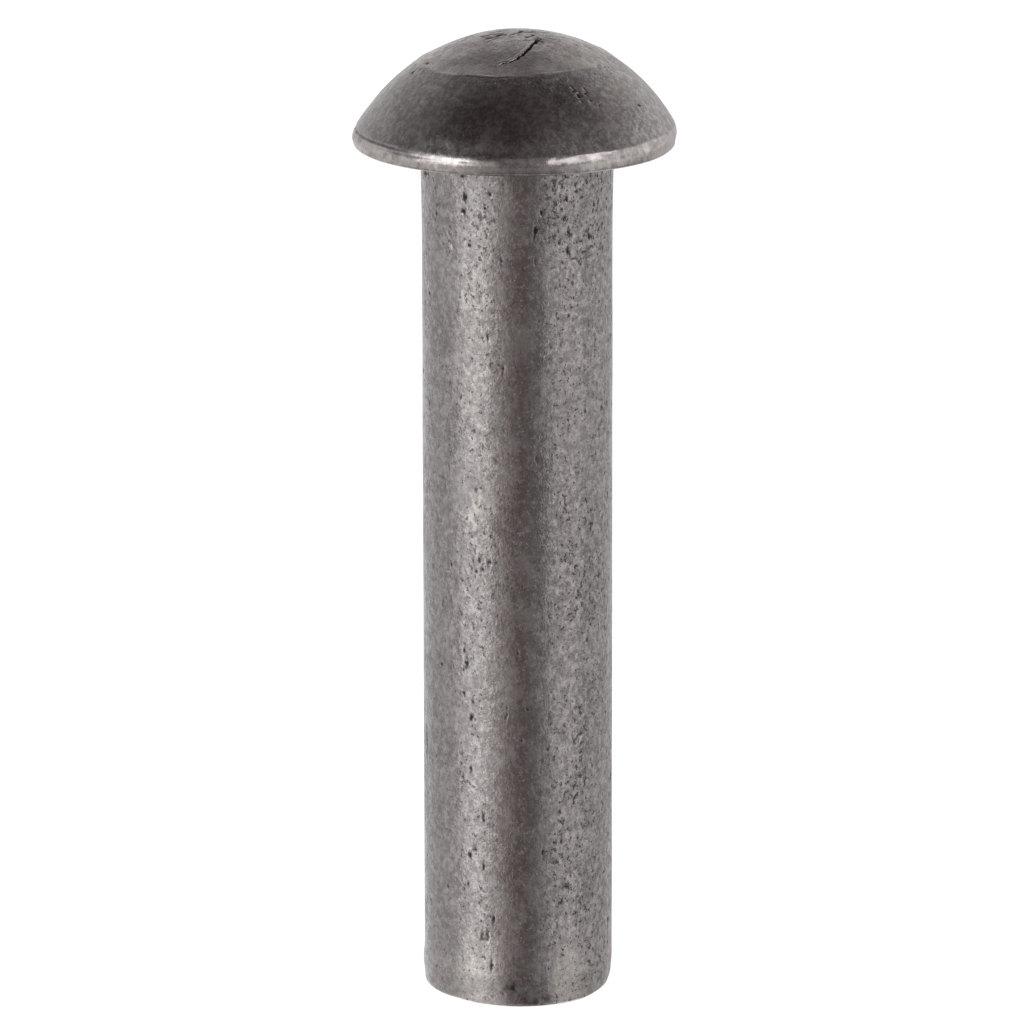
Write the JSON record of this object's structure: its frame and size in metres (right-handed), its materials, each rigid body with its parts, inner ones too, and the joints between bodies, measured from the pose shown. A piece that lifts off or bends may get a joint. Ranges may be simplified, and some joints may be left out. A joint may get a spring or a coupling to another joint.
{
  "type": "round head rivet",
  "caption": "Solid steel rivet with a low domed round head, a plain cylindrical shank and a flat sheared tail end.",
  "frame": {"origin": "centre of the flat bearing face under the head, on the shank's axis", "axes": "+Z along the shank's axis from the tail end towards the top of the head; the head sits 0.09 mm off that axis towards -X"},
  "size_m": [0.0102, 0.0102, 0.0312],
  "materials": {
    "steel": "plain cold-headed low-carbon steel wire, tumbled to a satin grey, with fine dark pits along the shank and a burnished rim"
  },
  "bodies": {
    "root": {"rivet": "steel"}
  },
  "joints": []
}
